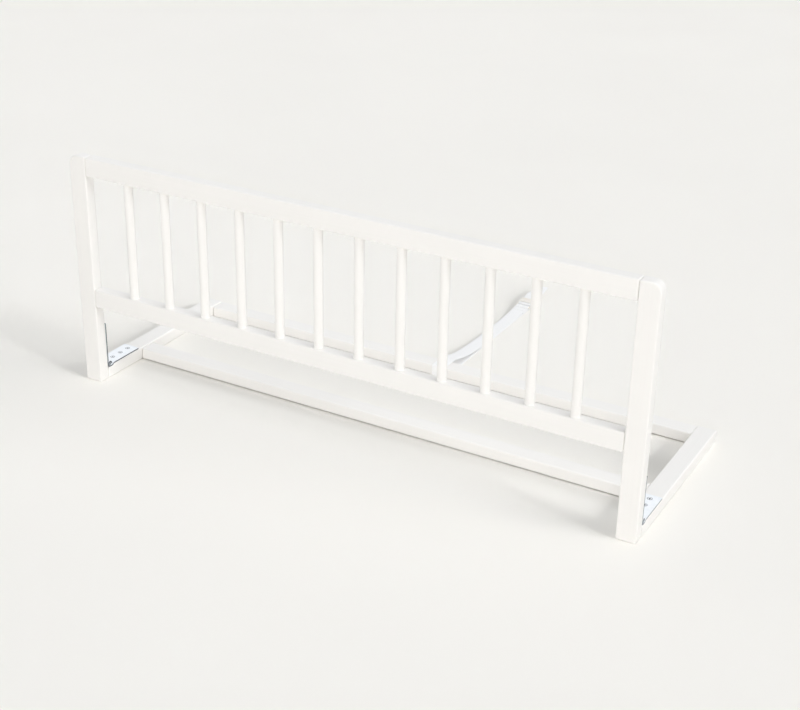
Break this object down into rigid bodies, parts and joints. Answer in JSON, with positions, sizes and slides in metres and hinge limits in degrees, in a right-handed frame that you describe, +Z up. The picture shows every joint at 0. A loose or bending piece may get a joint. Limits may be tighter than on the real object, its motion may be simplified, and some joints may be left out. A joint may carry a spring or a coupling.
{
  "type": "folding bed guard rail",
  "caption": "White wooden bed guard rail: a panel of upright round bars hinged to a flat base frame that lies under the mattress, with a webbing belt and ladder lock at the rear.",
  "frame": {"origin": "centre of the footprint of the panel and base frame, on the floor; the belt and its lock don't count", "axes": "+X along the guard's length, to the right as seen from the panel's outer face; +Y from the panel to the rear of the base; +Z up"},
  "size_m": [1, 0.7491, 0.4],
  "materials": {
    "white_lacquer": "satin white lacquer on wood",
    "beech": "bare turned hardwood",
    "zinc_plate": "bright zinc plate on pressed steel",
    "webbing": "woven white webbing",
    "cream_plastic": "moulded, slightly glossy"
  },
  "bodies": {
    "base": {"belt_lower_run": "webbing", "belt_rail_wrap": "webbing", "belt_tail": "webbing", "belt_upper_run": "webbing", "front_cross_rail": "white_lacquer", "front_cross_rail_left_dowel_pin_1": "beech", "front_cross_rail_left_dowel_pin_2": "beech", "front_cross_rail_right_dowel_pin_1": "beech", "front_cross_rail_right_dowel_pin_2": "beech", "ladder_lock": "cream_plastic", "left_hinge_pin": "zinc_plate", "left_rail_leaf": "zinc_plate", "left_rail_leaf_screw_1": "zinc_plate", "left_rail_leaf_screw_2": "zinc_plate", "left_rail_leaf_screw_3": "zinc_plate", "left_side_rail": "white_lacquer", "rear_cross_rail": "white_lacquer", "rear_cross_rail_left_dowel_pin_1": "beech", "rear_cross_rail_left_dowel_pin_2": "beech", "rear_cross_rail_right_dowel_pin_1": "beech", "rear_cross_rail_right_dowel_pin_2": "beech", "right_hinge_pin": "zinc_plate", "right_rail_leaf": "zinc_plate", "right_rail_leaf_screw_1": "zinc_plate", "right_rail_leaf_screw_2": "zinc_plate", "right_rail_leaf_screw_3": "zinc_plate", "right_side_rail": "white_lacquer"},
    "panel": {"bar_01": "white_lacquer", "bar_02": "white_lacquer", "bar_03": "white_lacquer", "bar_04": "white_lacquer", "bar_05": "white_lacquer", "bar_06": "white_lacquer", "bar_07": "white_lacquer", "bar_08": "white_lacquer", "bar_09": "white_lacquer", "bar_10": "white_lacquer", "bar_11": "white_lacquer", "bar_12": "white_lacquer", "bottom_rail": "white_lacquer", "bottom_rail_left_dowel_pin_1": "beech", "bottom_rail_left_dowel_pin_2": "beech", "bottom_rail_right_dowel_pin_1": "beech", "bottom_rail_right_dowel_pin_2": "beech", "left_post": "white_lacquer", "left_post_leaf": "zinc_plate", "left_post_leaf_screw_1": "zinc_plate", "left_post_leaf_screw_2": "zinc_plate", "left_post_leaf_screw_3": "zinc_plate", "right_post": "white_lacquer", "right_post_leaf": "zinc_plate", "right_post_leaf_screw_1": "zinc_plate", "right_post_leaf_screw_2": "zinc_plate", "right_post_leaf_screw_3": "zinc_plate", "top_rail": "white_lacquer", "top_rail_left_dowel_pin_1": "beech", "top_rail_left_dowel_pin_2": "beech", "top_rail_right_dowel_pin_1": "beech", "top_rail_right_dowel_pin_2": "beech"}
  },
  "joints": [
    {"name": "panel_fold", "type": "hinge", "parent": "base", "child": "panel", "pos_m": [0, -0.1494, 0.0251], "axis": [-1, 0, 0], "range_deg": [0, 90]}
  ]
}
